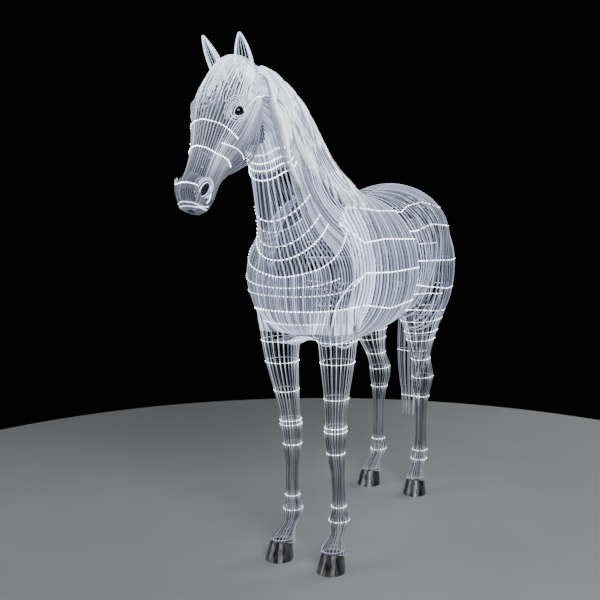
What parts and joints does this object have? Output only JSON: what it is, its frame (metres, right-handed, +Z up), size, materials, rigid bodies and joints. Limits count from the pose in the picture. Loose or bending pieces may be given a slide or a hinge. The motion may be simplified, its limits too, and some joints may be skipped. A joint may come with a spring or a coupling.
{
  "type": "standing horse sculpture",
  "caption": "Life-size standing horse of clear resin strands in an open lattice, on steel hooves, with a long mane and tail.",
  "frame": {"origin": "on the ground under the middle of the whole horse", "axes": "+Z up, -Y the way the horse faces, +X its left side"},
  "size_m": [0.5928, 2.3838, 2.0965],
  "materials": {
    "resin_strands": "clear bluish-white cast resin strands",
    "light_bands": "milky lit resin bands with a bead at each strand",
    "brushed_steel": "upright brushed steel",
    "dark_glass": "polished dark glass"
  },
  "bodies": {
    "root": {"horse_figure": "resin_strands", "hoof_front_left": "brushed_steel", "hoof_front_right": "brushed_steel", "hoof_hind_left": "brushed_steel", "hoof_hind_right": "brushed_steel", "eye_left": "dark_glass", "eye_right": "dark_glass"}
  },
  "joints": []
}
